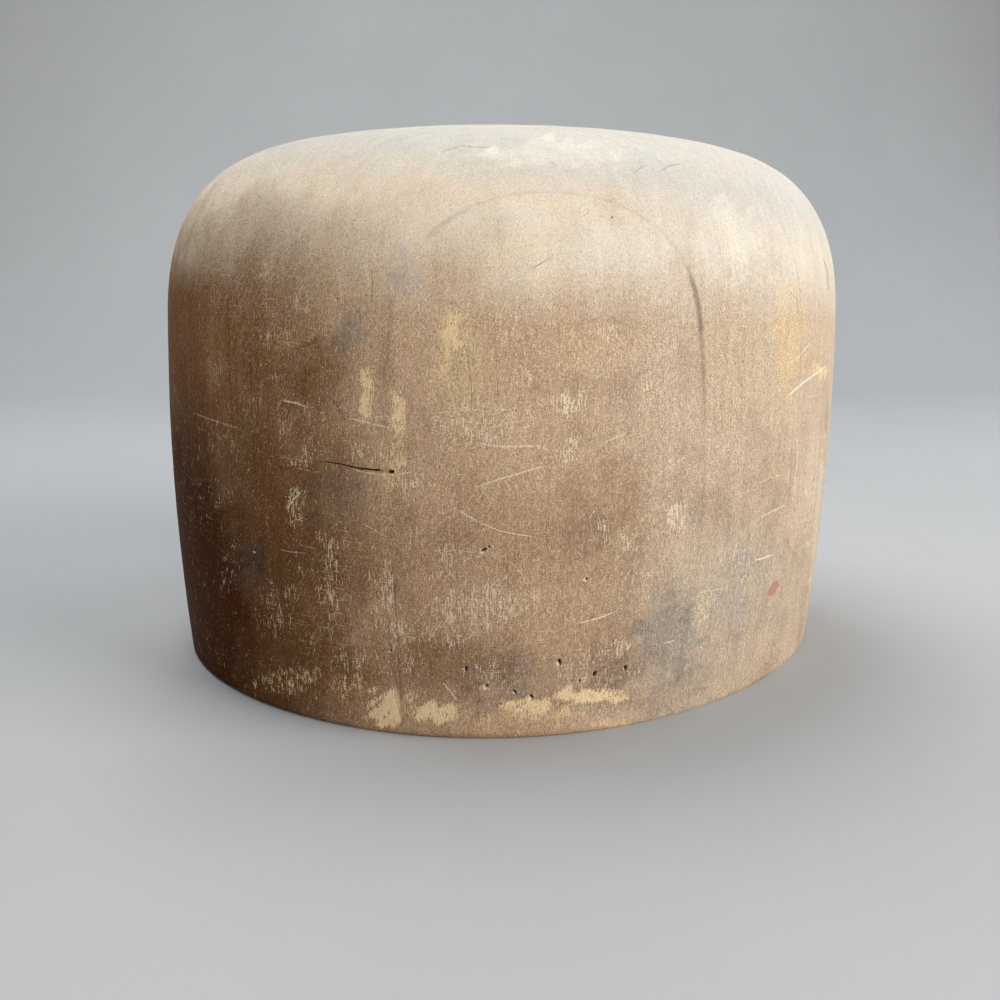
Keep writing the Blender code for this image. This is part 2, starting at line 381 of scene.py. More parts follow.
# Dark lines, the same way. A pair of widths is for the start and the end.
DARK_LINES = {
    "gouge": (((316, 462), (326, 462), (340, 464), (356, 468), (374, 470), (393, 471)), (0.5, 1.7), 0.8, 1.0),
    "left_slanting": (((329, 395), (338, 408), (347, 424)), 0.8, 0.05, 0.55),
    "left_upright": (((371, 268), (372, 285), (371, 303)), 0.9, 0.05, 0.4),
    "middle_upright": (((462, 337), (468, 357), (471, 385), (472, 425)), 0.8, 0.04, 0.38),
    "low_upright": (((507, 546), (507, 570), (508, 592)), 0.9, 0.04, 0.3),
    "shoulder": (((531, 269), (540, 264), (550, 258)), 1.1, 0.05, 0.45),
    "crown_1": (((441, 152), (452, 148), (461, 145), (473, 147), (488, 147)), 1.1, 0.03, 0.3),
    "crown_2": (((634, 173), (640, 168), (646, 165)), 1.1, 0.03, 0.3),
    "crown_3": (((660, 172), (668, 166), (680, 164)), 1.4, 0.03, 0.25),
    "left_side_1": (((249, 330), (251, 400), (255, 470)), 1.0, 0.04, 0.4),
    "left_side_2": (((227, 300), (229, 370), (233, 440)), 1.1, 0.03, 0.3),
    "left_side_3": (((281, 455), (283, 500), (281, 540)), 0.9, 0.03, 0.25),
    "seam_foot": (((393, 556), (395, 600), (398, 650), (402, 722)), 1.0, 0.05, 0.45),
    "crescent": (((789, 290), (797, 300), (799, 318)), 0.9, 0.03, 0.3),
    "right_rim": (((824, 258), (828, 272), (829, 290)), 1.0, 0.04, 0.4),
    "ring_left": (((585, 203), (579, 208), (580, 216)), 0.8, 0.02, 0.25),
    "ring_right": (((581, 217), (587, 214), (589, 207)), 0.8, 0.02, 0.25),
}

# Pin holes and nicks: column, row, half width and half height in pixels, slant, and how far the chip
# beside it reaches
HOLES = {
    "pin_1": (466, 669, 1.1, 2.6, 0.2, 2.6),
    "pin_2": (487, 686, 1.1, 2.0, 0.9, 4.2),
    "pin_3": (515, 692, 1.0, 2.2, -0.5, 2.2),
    "pin_4": (532, 697, 1.2, 2.4, -0.6, 2.8),
    "pin_5": (560, 662, 1.3, 2.8, -0.3, 3.2),
    "pin_6": (580, 681, 0.9, 1.6, 0.3, 2.2),
    "pin_7": (595, 674, 1.4, 2.8, 0.5, 2.8),
    "pin_8": (626, 668, 1.4, 2.6, 0.1, 2.6),
    "nail": (391, 472, 2.4, 1.7, 0.0, 0.0),
    "nick": (484, 550, 3.4, 1.0, -0.5, 3.6),
    "nick_end": (489, 547, 1.2, 0.9, 0.0, 2.2),
    "speck_1": (587, 579, 0.9, 1.3, 0.3, 3.4),
    "speck_2": (255, 551, 1.4, 1.0, 0.0, 2.0),
    "speck_3": (337, 299, 0.7, 1.0, 0.0, 2.0),
    "speck_4": (612, 217, 0.8, 0.8, 0.0, 0.0),
    "speck_5": (391, 651, 1.0, 1.2, 0.4, 2.8),
    "speck_6": (415, 499, 0.6, 0.6, 0.0, 1.7),
    "speck_7": (361, 470, 0.9, 0.8, 0.0, 0.0),
}

# Places, as boxes of pixels (left, top, right, bottom), and how strong each is

# Worn through to bare yellowish wood
BARE = {
    "base_left_1": (369, 690, 403, 731, 1.0),
    "base_left_edge": (384, 690, 404, 722, 1.0),
    "base_left_2": (404, 702, 464, 722, 0.95),
    "base_left_tip": (404, 690, 418, 708, 0.55),
    "base_middle": (495, 697, 556, 716, 0.85),
    "base_right": (552, 687, 629, 704, 1.0),
    "base_right_under": (500, 706, 592, 722, 0.55),
    "base_rim": (592, 719, 640, 731, 0.6),
    "base_rim_left": (476, 712, 500, 732, 0.45),
    "base_faint": (254, 664, 330, 694, 0.30),
    "base_faint_2": (330, 672, 374, 702, 0.30),
    "wear_top": (442, 312, 464, 352, 1.0),
    "wear_tail": (439, 338, 454, 382, 0.55),
    "wear_left": (360, 362, 374, 428, 0.90),
    "wear_left_2": (390, 386, 406, 434, 0.85),
    "wear_left_3": (382, 420, 408, 500, 0.45),
    "yellow_spot": (665, 268, 685, 292, 0.36),
    "yellow_spot_2": (720, 222, 732, 240, 0.34),
    "far_right": (808, 362, 828, 378, 0.62),
}

# Pale flecks
FLECKS = {
    "top_left_1": (258, 260, 280, 286, 1.0),
    "top_left_2": (286, 284, 314, 316, 0.75),
    "level_band": (250, 330, 326, 346, 0.55),
    "left_1": (283, 485, 305, 514, 0.8),
    "left_2": (286, 513, 306, 530, 0.75),
    "left_3": (211, 356, 224, 388, 0.6),
    "left_4": (262, 372, 286, 384, 0.6),
    "left_5": (218, 430, 240, 444, 0.6),
    "left_6": (285, 446, 312, 470, 0.65),
    "left_7": (256, 584, 300, 640, 0.42),
    "left_8": (318, 524, 345, 640, 0.62),
    "left_9": (366, 556, 398, 622, 0.85),
    "left_10": (345, 436, 400, 462, 0.6),
    "left_11": (214, 480, 240, 512, 0.40),
    "left_12": (222, 540, 244, 600, 0.36),
    "seam_low": (382, 604, 414, 662, 0.68),
    "low_middle": (424, 576, 556, 628, 0.72),
    "low_middle_2": (410, 598, 470, 656, 0.58),
    "low_levels": (318, 646, 430, 678, 0.55),
    "middle_1": (546, 390, 592, 414, 0.8),
    "middle_2": (556, 434, 584, 466, 0.85),
    "middle_3": (432, 396, 520, 444, 0.5),
    "middle_4": (596, 324, 620, 342, 0.75),
    "middle_5": (470, 296, 500, 330, 0.35),
    "middle_6": (640, 378, 660, 400, 0.7),
    "middle_7": (536, 296, 552, 310, 0.5),
    "middle_8": (424, 540, 470, 580, 0.45),
    "right_1": (662, 502, 694, 536, 0.9),
    "right_2": (597, 512, 612, 544, 0.8),
    "right_3": (614, 526, 640, 556, 0.8),
    "right_4": (704, 396, 724, 416, 0.6),
    "right_5": (714, 440, 740, 462, 0.5),
    "right_6": (690, 590, 724, 620, 0.7),
    "right_7": (606, 638, 632, 656, 0.85),
    "right_8": (672, 400, 690, 430, 0.4),
    "right_9": (726, 536, 760, 600, 0.45),
    "right_10": (600, 560, 680, 606, 0.45),
    "right_low": (760, 640, 792, 668, 0.45),
    "by_gouge": (396, 452, 420, 500, 0.6),
    "pins": (540, 640, 640, 690, 0.45),
    "pins_left": (470, 660, 500, 692, 0.55),
    "shoulder_left": (225, 216, 250, 262, 0.5),
    "under_bare": (560, 700, 625, 716, 0.5),
    "base_left": (250, 656, 336, 702, 0.24),
    "left_13": (190, 380, 340, 470, 0.28),
    "middle_9": (400, 290, 560, 430, 0.22),
    "top_middle": (240, 230, 420, 300, 0.22),
}

# Grey stains, where the wood is duller and darker
GREYS = {
    "left_top": (330, 304, 370, 356, 0.60),
    "seam_left": (386, 240, 418, 304, 0.30),
    "under_gouge": (298, 466, 368, 530, 0.45),
    "left_low": (222, 532, 268, 588, 0.62),
    "seam_low": (376, 560, 424, 662, 0.18),
    "right_low": (636, 590, 706, 682, 1.0),
    "right_low_2": (690, 570, 768, 680, 0.42),
    "right_mid": (690, 510, 760, 600, 0.22),
    "foot": (400, 640, 800, 724, 0.46),
    "right_zone": (640, 520, 800, 660, 0.42),
    "low_middle": (440, 630, 640, 694, 0.24),
    "left_shoulder": (216, 160, 320, 290, 0.14),
    "left_of_seam": (290, 210, 380, 300, 0.16),
    "low_centre": (410, 470, 670, 690, 0.20),
    "right_side": (640, 470, 822, 690, 0.30),
    "low_left": (290, 560, 420, 690, 0.14),
    "crown": (520, 160, 720, 182, 0.16),
}

# Darker brown, and painted shade: left_edge and left_foot darken the back end's edge and foot, which stand in
# shade
DARKS = {
    "left_band": (290, 400, 396, 570, 0.36),
    # Painted shade along the back end's edge and foot
    "left_edge": (150, 190, 208, 720, 0.80),
    "left_foot": (150, 500, 250, 740, 0.70),
    "under_gouge_2": (325, 474, 420, 600, 0.40),
    "low_band_2": (350, 634, 520, 692, 0.40),
    "middle_right": (620, 400, 690, 570, 0.30),
    "right_middle": (640, 400, 790, 530, 0.24),
    "middle": (400, 380, 500, 500, 0.30),
    "by_left_stain": (300, 340, 345, 420, 0.5),
    "by_seam": (376, 300, 395, 480, 0.50),
    "left_low": (286, 570, 350, 690, 0.30),
    "under_gouge": (296, 500, 366, 600, 0.4),
    "low_band": (290, 640, 420, 690, 0.36),
    "seam_foot": (366, 640, 420, 700, 0.3),
    "pins": (560, 640, 660, 690, 0.35),
}

# Warm yellowish places
WARMS = {
    "far_right": (770, 240, 806, 400, 0.8),
    "middle_left": (426, 300, 500, 440, 0.6),
    "left_of_seam": (360, 420, 400, 520, 0.5),
    "right_low": (700, 670, 790, 712, 0.4),
    "left_low": (240, 560, 300, 690, 0.5),
}

# Lighter brown
LIGHTS = {
    "left_1": (234, 210, 345, 340, 0.50),
    "left_2": (236, 470, 290, 620, 0.25),
    "shoulder": (296, 206, 356, 340, 0.9),
    "middle_1": (560, 326, 640, 380, 0.5),
    "low_middle": (400, 540, 640, 640, 0.22),
    "foot": (400, 706, 700, 744, 1.0),
}

# Bleached places, partly painted sheen: the rims and the lit upper right are lightened where the light grazes
# the wood
BLEACH_AND_SHEEN_PLACES = {
    "arch_right": (548, 212, 690, 274, 0.50),
    "arch_left": (440, 204, 560, 232, 0.42),
    "shoulder_right": (694, 196, 760, 288, 0.46),
    "crown_front": (470, 138, 640, 168, 0.4),
    # Painted sheen along the crown's left rim and the right edge, where the light grazes the wood.
    "left_rim": (206, 150, 290, 192, 0.3),
    "right_edge": (806, 420, 832, 660, 0.3),
    "right_low": (680, 530, 800, 640, 0.15),
}

# Sanding scratches
SCUFFS = {
    "crown_left": (230, 140, 440, 240, 0.8),
    "left_top": (200, 220, 420, 350, 0.9),
    "fan": (384, 272, 446, 352, 0.9),
    "arch": (540, 210, 760, 300, 0.8),
    "low_middle": (400, 580, 560, 660, 0.9),
    "middle": (430, 380, 600, 560, 0.5),
    "right_edge": (770, 380, 826, 560, 0.8),
    "left_low": (300, 520, 400, 680, 0.6),
}

# A smear of red paint
RED_MARK = ((769, 597), (773, 590), (779, 580))
RED_MARK_WIDTH = 7.0
RED_MARK_STRENGTH = 0.8

# How dark the glue lines are there
OPEN_JOINTS = {
    "right_leg": (676, 262, 714, 356, 0.66),
    "right_leg_end": (698, 330, 714, 430, 0.30),
    "left_shoulder": (416, 200, 470, 246, 0.26),
    "left_leg": (384, 250, 402, 470, 0.24),
    "left_foot": (386, 560, 408, 735, 0.42),
    "left_side": (240, 330, 262, 600, 0.20),
}


# How the edges of places stray: lengths of waves in pixels, and how far, as a share of the place's size
STRAY_ACROSS = (11, 17, 26, 41)
STRAY_DOWN = (9, 15, 24, 38)
STRAY = 0.16
STRAY_LIMIT = 40
# The soft oval that fills a place's box
OVAL_REACH = 1.3
OVAL_SQUARENESS = 2.2


class Chart:
    """Marks laid out on a plane, in pixels: the photograph's, or a plan or an unrolled side of the block."""

    def __init__(self):
        self.lines = []
        self.holes = []
        self.places = []

    def reach(self, column, row, margin):
        """Which pixels are that close to a line or hole."""
        close = np.zeros(len(column), bool)
        for _, path, width, _, _ in self.lines:
            part = beside(column, row, line_box(path), np.max(width) + margin)
            close[part] |= near_line(column[part], row[part], path)[0] < np.max(width) * 0.8 + margin
        for middle, level, across, up, _, chip in self.holes:
            close |= np.hypot(column - middle, row - level) < max(across, up, chip) * 1.2 + margin
        return close

    def paint(self, column, row):
        """The layers of colour at each place, and the depth of the marks."""
        layers = {layer: np.zeros(len(column)) for layer in LAYERS}
        depth = np.zeros(len(column))

        def lay(layer, part, value):
            layers[layer][part] = np.maximum(layers[layer][part], value)

        for layer, path, width, deep, strength in self.lines:
            part = beside(column, row, line_box(path), 8)
            gap, along = near_line(column[part], row[part], path)
            half = np.interp(along, (0.0, 1.0), (np.min(width), np.max(width)))
            taper = smooth(-0.02, 0.18, along) * smooth(1.02, 0.82, along)
            line = smooth(half * 0.85, half * 0.25, gap) * (0.35 + 0.65 * taper)
            lay(layer, part, strength * line)
            depth[part] += deep * MM * line * half / np.max(width)
        for middle, level, across, up, slant, chip in self.holes:
            part = beside(column, row, (middle, level, middle, level), 14)
            right, down = column[part] - middle, row[part] - level
            u = right * math.cos(slant) + down * math.sin(slant)
            v = down * math.cos(slant) - right * math.sin(slant)
            hole = smooth(1.35, 0.6, np.hypot(u / across, v / up))
            # Painted shade: the inside of each hole and nick is painted dark, as grime and as the shade that
            # falls in it.
            lay("dirt", part, hole)
            depth[part] += HOLE_DEPTH * hole
            if chip:
                gap = np.hypot(right + chip * 0.45, down - chip * 0.35)
                broken = smooth(chip, chip * 0.3, gap) * (1 - hole)
                lay("scratch", part, 0.85 * broken)
                depth[part] += CHIP_DEPTH * broken
        spots = np.stack([column, row, np.zeros(len(column))], axis=1)
        sideways = ripples(spots, STRAY_ACROSS, 5)
        upright = ripples(spots, STRAY_DOWN, 6)
        for layer, box, strength in self.places:
            part = beside(column, row, box, 0.4 * max(box[2] - box[0], box[3] - box[1]))
            sway = min(box[2] - box[0], box[3] - box[1], STRAY_LIMIT) * STRAY
            near = near_box(column[part] + sway * sideways[part], row[part] + sway * upright[part], box)
            lay(layer, part, strength * near)
        return layers, depth


# The layers of colour that the marks are painted on
LINE_LAYERS = {"scratch": SCRATCHES, "dirt": DARK_LINES}
PLACE_LAYERS = {
    "bare": BARE,
    "fleck": FLECKS,
    "grey": GREYS,
    "dark": DARKS,
    "warm": WARMS,
    "pale": BLEACH_AND_SHEEN_PLACES,
    "light": LIGHTS,
    "scuff": SCUFFS,
    "open": OPEN_JOINTS,
}
LAYERS = (*LINE_LAYERS, *PLACE_LAYERS, "red")


def photo_chart():
    """The marks that the photograph shows."""
    chart = Chart()
    for layer, table in LINE_LAYERS.items():
        chart.lines += [(layer, *line) for line in table.values()]
    chart.holes = list(HOLES.values())
    for layer, table in PLACE_LAYERS.items():
        chart.places += [(layer, place[:4], place[4]) for place in table.values()]
    chart.lines.append(("red", RED_MARK, RED_MARK_WIDTH, 0.0, RED_MARK_STRENGTH))
    return chart


# On the sides that the photograph doesn't show. Each count is for an area of 100,000 square pixels.
CHANCE_AREA = 1e5
CHANCE_SCRATCHES = 11
CHANCE_HEADINGS = (-0.9, 0.8, 0.1)  # radians
CHANCE_DARK_LINES = 3
# Count, smallest and largest size in pixels, least and most strength
CHANCE_PLACES = {
    "fleck": (20, 12, 40, 0.4, 0.9),
    "grey": (2, 60, 140, 0.12, 0.32),
    "dark": (4, 40, 110, 0.3, 0.6),
    "warm": (3, 40, 100, 0.3, 0.7),
    "pale": (3, 40, 110, 0.05, 0.12),
    "scuff": (5, 60, 140, 0.4, 0.9),
    "open": (4, 20, 60, 0.3, 0.8),
}


def chance_chart(seed, left, top, right, bottom):
    """Marks of the same kinds, placed by chance, for a side that the photograph doesn't show."""
    random = np.random.default_rng(seed)
    chart = Chart()
    area = (right - left) * (bottom - top) / CHANCE_AREA

    def spots(count):
        return [(random.uniform(left, right), random.uniform(top, bottom)) for _ in range(int(count * area))]

    for middle, level in spots(CHANCE_SCRATCHES):
        heading = random.choice(CHANCE_HEADINGS) + random.normal(0.0, 0.25)
        run = random.uniform(12, 60)
        path = [(middle, level)]
        for share in (0.5, 1.0):
            turn = heading + random.normal(0.0, 0.08)
            path.append((middle + share * run * math.cos(turn), level + share * run * math.sin(turn)))
        strength = random.uniform(0.3, 0.9)
        chart.lines.append(("scratch", path, random.uniform(1.0, 1.6), 0.08 * strength, strength))
    for middle, level in spots(CHANCE_DARK_LINES):
        path = [(middle, level), (middle + random.normal(0, 3), level + random.uniform(20, 60))]
        chart.lines.append(("dirt", path, 1.0, 0.04, random.uniform(0.10, 0.30)))
    for layer, (count, smallest, largest, weak, strong) in CHANCE_PLACES.items():
        for middle, level in spots(count):
            across, up = random.uniform(smallest, largest, 2) / 2
            box = (middle - across, level - up, middle + across, level + up)
            chart.places.append((layer, box, random.uniform(weak, strong)))
    return chart


def near_line(column, row, path):
    """The distance in pixels from each place to a line, and how far along it the nearest point is, 0 to 1."""
    path = np.array(path, float)
    steps = np.linalg.norm(np.diff(path, axis=0), axis=1)
    runs = np.concatenate([[0.0], np.cumsum(steps)]) / steps.sum()
    nearest = np.full(len(column), 1e9)
    along = np.zeros(len(column))
    for place, (start, end) in enumerate(zip(path, path[1:])):
        leg = end - start
        share = ((column - start[0]) * leg[0] + (row - start[1]) * leg[1]) / (leg @ leg)
        share = np.clip(share, 0.0, 1.0)
        gap = np.hypot(column - start[0] - share * leg[0], row - start[1] - share * leg[1])
        closer = gap < nearest
        nearest[closer] = gap[closer]
        along[closer] = (runs[place] + share * (runs[place + 1] - runs[place]))[closer]
    return nearest, along


def line_box(path):
    """The box of pixels round a line."""
    path = np.array(path)
    return (*path.min(0), *path.max(0))


def beside(column, row, box, margin):
    """The numbers of the places that are in a box or less than the margin outside it."""
    left, top, right, bottom = box
    inside = (column > left - margin) & (column < right + margin)
    return np.flatnonzero(inside & (row > top - margin) & (row < bottom + margin))


def near_box(column, row, box):
    """1 in the middle of a soft oval that fills the box, and 0 outside it."""
    left, top, right, bottom = box
    across = (column - (left + right) / 2) / ((right - left) / 2)
    down = (row - (top + bottom) / 2) / ((bottom - top) / 2)
    out = np.abs(across) ** OVAL_SQUARENESS + np.abs(down) ** OVAL_SQUARENESS
    return np.clip(OVAL_REACH - out, 0.0, 1.0)


def smooth(low, high, value):
    share = np.clip((value - low) / (high - low), 0.0, 1.0)
    return share * share * (3 - 2 * share)


def ripples(points, wavelengths, seed):
    """A gentle unevenness, about -1 to 1, from waves that cross each other."""
    random = np.random.default_rng(seed)
    total = np.zeros(len(points))
    for wavelength in wavelengths:
        direction = random.normal(size=3)
        direction *= 2 * math.pi / wavelength / np.linalg.norm(direction)
        total += np.cos(points @ direction + random.uniform(0, 2 * math.pi))
    return total / math.sqrt(len(wavelengths))


# The plan of the crown and the unrolled side, which carry the marks placed by chance
PIXEL = 0.00025
UNROLLED_RADIUS = 0.093
PLAN_FROM = 0.112  # the height where the plan takes over from the unrolled side
PLAN_OVERLAP = 3 * MM
PLAN_REACH = (380.0, 330.0)
SEEN = (0.02, 0.12)  # how far the wood faces the camera where the photograph's marks fade in
HIDDEN = (0.06, -0.10)  # and where those placed by chance do
SIDE_FOOT = -10.0
SIDE_PINS = 34
SIDE_BARE_PLACES = 26


def side_chart():
    """The unrolled side, with a row of pin holes and places worn bare along its foot."""
    end = math.pi / 1.5 * UNROLLED_RADIUS / PIXEL
    chart = chance_chart(7, -end, -PLAN_FROM / PIXEL, end, SIDE_FOOT)
    random = np.random.default_rng(9)
    for _ in range(SIDE_PINS):
        place = (random.uniform(-end, end), -random.uniform(26, 66))
        tall, slant, chip = random.uniform(1.8, 3.0), random.uniform(-0.8, 0.8), random.uniform(0.0, 4.5)
        chart.holes.append((*place, 1.6, tall, slant, chip))
    for _ in range(SIDE_BARE_PLACES):
        left = random.uniform(-end, end)
        level = -random.uniform(8, 40)
        box = (left, level - random.uniform(8, 20), left + random.uniform(30, 90), level + 6)
        chart.places.append(("bare", box, random.uniform(0.4, 1.0)))
    return chart


def plan_chart():
    across, along = PLAN_REACH
    return chance_chart(8, -across, -along, across, along)


CHARTS = {"photo": photo_chart(), "side": side_chart(), "plan": plan_chart()}


def charted(points, outward):
    """For each chart: where the points are on it, and how fully it counts there."""
    away = points - np.array(CAMERA_PLACE)
    away /= np.linalg.norm(away, axis=1, keepdims=True)
    facing = -np.einsum("ij,ij->i", away, outward)
    height = points[:, 2]
    carved = (height > BASE_EDGE * 0.5) & (np.hypot(points[:, 0], points[:, 1]) > 2 * SOCKET_RADIUS)
    carved |= height > SOCKET_DEPTH + SOCKET_RADIUS
    hidden = smooth(*HIDDEN, facing) * carved
    around = np.arctan2(points[:, 0], points[:, 1]) * UNROLLED_RADIUS
    lower = smooth(PLAN_FROM + PLAN_OVERLAP, PLAN_FROM - PLAN_OVERLAP, height)
    upper = smooth(PLAN_FROM - PLAN_OVERLAP, PLAN_FROM + PLAN_OVERLAP, height)
    places = {
        "photo": (*photo_places(points), smooth(*SEEN, facing) * carved),
        "side": (around / PIXEL, -height / PIXEL, hidden * lower),
        "plan": (points[:, 0] / PIXEL, points[:, 1] / PIXEL, hidden * upper),
    }
    return places, carved


def tones(points):
    """The block's broad colouring: brown at the back end and low down, partly dark patina and partly painted
    shade; nearly black at the back end's foot, mostly painted shade; paler and greyer towards the forehead
    end, and sandy and then chalky above, each partly the wood's own tone and partly a painted sheen of the
    light from above and from the forehead end's side.
    """
    x, z = points[:, 0] / MM, points[:, 2] / MM
    # Painted shade: the wood is painted browner low down and all along the back end, which stands in shade,
    # as well as where its patina is darker.
    low = smooth(78, 44, z) * (0.48 - 0.38 * smooth(-15, 40, x))
    back = np.minimum(x + 20, 0)
    return {
        "umber_and_shade": 1 - (1 - smooth(-34, -76, x)) * (1 - low),
        # Painted shade: nearly black at the back end's foot, which stands in deep shade; a little of it is
        # darker patina.
        "deep": smooth(-42, -90, x) * smooth(100, 36, z),
        # Painted sheen, in part: paler and greyer towards the forehead end, the side that the light comes
        # from.
        "fawn_and_sheen": smooth(-10, 38, x),
        # Painted sheen, in part: sandy and then chalky towards the top, where the light falls most; it starts
        # higher at the back end, which is in shade.
        "sand": smooth(92 - 0.05 * back, 118 - 0.42 * back, z),
        "chalk_and_sheen": smooth(119, 136, z + 0.10 * x),
    }


# Cutting the block into its boards


def read_points(mesh):
    """The mesh's corners and the outward directions kept with them."""
    points = np.empty(len(mesh.vertices) * 3, np.float32)
    mesh.vertices.foreach_get("co", points)
    outward = np.empty(len(mesh.vertices) * 3, np.float32)
    mesh.attributes["outward"].data.foreach_get("vector", outward)
    outward = outward.reshape(-1, 3).astype(float)
    outward /= np.maximum(np.linalg.norm(outward, axis=1, keepdims=True), 1e-12)
    return points.reshape(-1, 3).astype(float), outward


def refine(solid, mesh):
    """Splits the edges beside the marks, once for each reach."""
    for reach in MARK_REACHES:
        solid.to_mesh(mesh)
        points, outward = read_points(mesh)
        near_mark = np.zeros(len(points), bool)
        for name, (column, row, weight) in charted(points, outward)[0].items():
            used = np.flatnonzero(weight > 0.0)
            near_mark[used] |= CHARTS[name].reach(column[used], row[used], reach)
        ends = np.empty(len(mesh.edges) * 2, np.int32)
        mesh.edges.foreach_get("vertices", ends)
        ends = ends.reshape(-1, 2)
        lengths = np.linalg.norm(points[ends[:, 0]] - points[ends[:, 1]], axis=1)
        split = np.flatnonzero(near_mark[ends].any(1) & (lengths > 1.5 * FINEST_STEP))
        if not len(split):
            return
        solid.edges.ensure_lookup_table()
        edges = [solid.edges[number] for number in split.tolist()]
        bmesh.ops.subdivide_edges(solid, edges=edges, cuts=1, use_grid_fill=True)


def cut_board(mesh, near, far, outward):
    """Cuts the mesh to the part between the planes y = near and y = far, closed at both."""
    solid = bmesh.new()
    solid.from_mesh(mesh)
    kept = solid.verts.layers.float_vector.new("outward")
    for vertex, direction in zip(solid.verts, outward.tolist()):
        vertex[kept] = direction

    def cut(level, drop_below=False, drop_above=False):
        parts = list(solid.verts) + list(solid.edges) + list(solid.faces)
        bmesh.ops.bisect_plane(
            solid,
            geom=parts,
            dist=1e-8,
            plane_co=(0.0, level, 0.0),
            plane_no=(0.0, 1.0, 0.0),
            clear_inner=drop_below,
            clear_outer=drop_above,
        )

    lowest = min(vertex.co.y for vertex in solid.verts)
    highest = max(vertex.co.y for vertex in solid.verts)
    if near > lowest:
        cut(near, drop_below=True)
        for share in (0.5, 1.0):
            cut(near + JOINT_DIP_REACH * share)
    if far < highest:
        cut(far, drop_above=True)
        for share in (0.5, 1.0):
            cut(far - JOINT_DIP_REACH * share)
    refine(solid, mesh)
    bmesh.ops.holes_fill(solid, edges=[edge for edge in solid.edges if edge.is_boundary], sides=0)
    solid.to_mesh(mesh)
    solid.free()


def board_mesh(name, near, far, blank, shift):
    """The part of the block between the planes y = near and y = far, with its marks."""
    corners, quads, outward = blank
    levels = corners[quads, 1]
    chosen = quads[(levels.max(1) > near) & (levels.min(1) < far)]
    used = np.unique(chosen)
    renumber = np.zeros(len(corners), int)
    renumber[used] = np.arange(len(used))
    chosen = renumber[chosen]
    triangles = chosen[:, 3] == chosen[:, 2]
    mesh = bpy.data.meshes.new(name)
    mesh.from_pydata(corners[used], [], chosen[~triangles].tolist() + chosen[triangles, :3].tolist())
    cut_board(mesh, near, far, outward[used])

    places, directions = read_points(mesh)
    layers = {layer: np.zeros(len(places)) for layer in LAYERS}
    depth = np.zeros(len(places))
    charts, carved = charted(places, directions)
    for name, (column, row, weight) in charts.items():
        used = np.flatnonzero(weight > 0.0)
        painted, marked = CHARTS[name].paint(column[used], row[used])
        for layer, values in painted.items():
            layers[layer][used] = np.maximum(layers[layer][used], weight[used] * values)
        depth[used] += weight[used] * marked
    layers.update(tones(places))
    gap = np.minimum(np.abs(places[:, 1] - near), np.abs(places[:, 1] - far))
    layers["joint"] = smooth(JOINT_DIP_REACH, 0.0, gap)
    depth += JOINT_DIP * layers["joint"] * (0.4 + 0.6 * layers["open"])
    depth += BARE_DEPTH * layers["bare"]
    uneven = ripples(places, BROAD_WAVES, 3)
    uneven += 0.5 * ripples(places, SHORT_WAVES, 4)
    depth += UNEVENNESS * (0.5 + 0.25 * np.clip(uneven, -2.0, 2.0))
    depth[~carved] = 0.0
    moved = places - directions * depth[:, None]
    mesh.vertices.foreach_set("co", moved.astype(np.float32).ravel())
    mesh.attributes.remove(mesh.attributes["outward"])
    for layer, values in layers.items():
        attribute = mesh.attributes.new(layer, "FLOAT", "POINT")
        attribute.data.foreach_set("value", values.astype(np.float32))
    board = mesh.attributes.new("board", "FLOAT", "POINT")
    board.data.foreach_set("value", np.full(len(mesh.vertices), shift, np.float32))
    mesh.shade_smooth()
    mesh.set_sharp_from_angle(angle=SHARP_ANGLE)
    mesh.update()
    return mesh


# Materials


class Value:
    """A number that a material's nodes work out, for plain sums."""

    def __init__(self, shader, socket):
        self.shader = shader
        self.socket = socket

    def __add__(self, other):
        return self.shader.sum("ADD", self, other)

    def __sub__(self, other):
        return self.shader.sum("SUBTRACT", self, other)

    def __rsub__(self, other):
        return self.shader.sum("SUBTRACT", other, self)

    def __mul__(self, other):
        return self.shader.sum("MULTIPLY", self, other)

    def __truediv__(self, other):
        return self.shader.sum("DIVIDE", self, other)

    __radd__ = __add__
    __rmul__ = __mul__


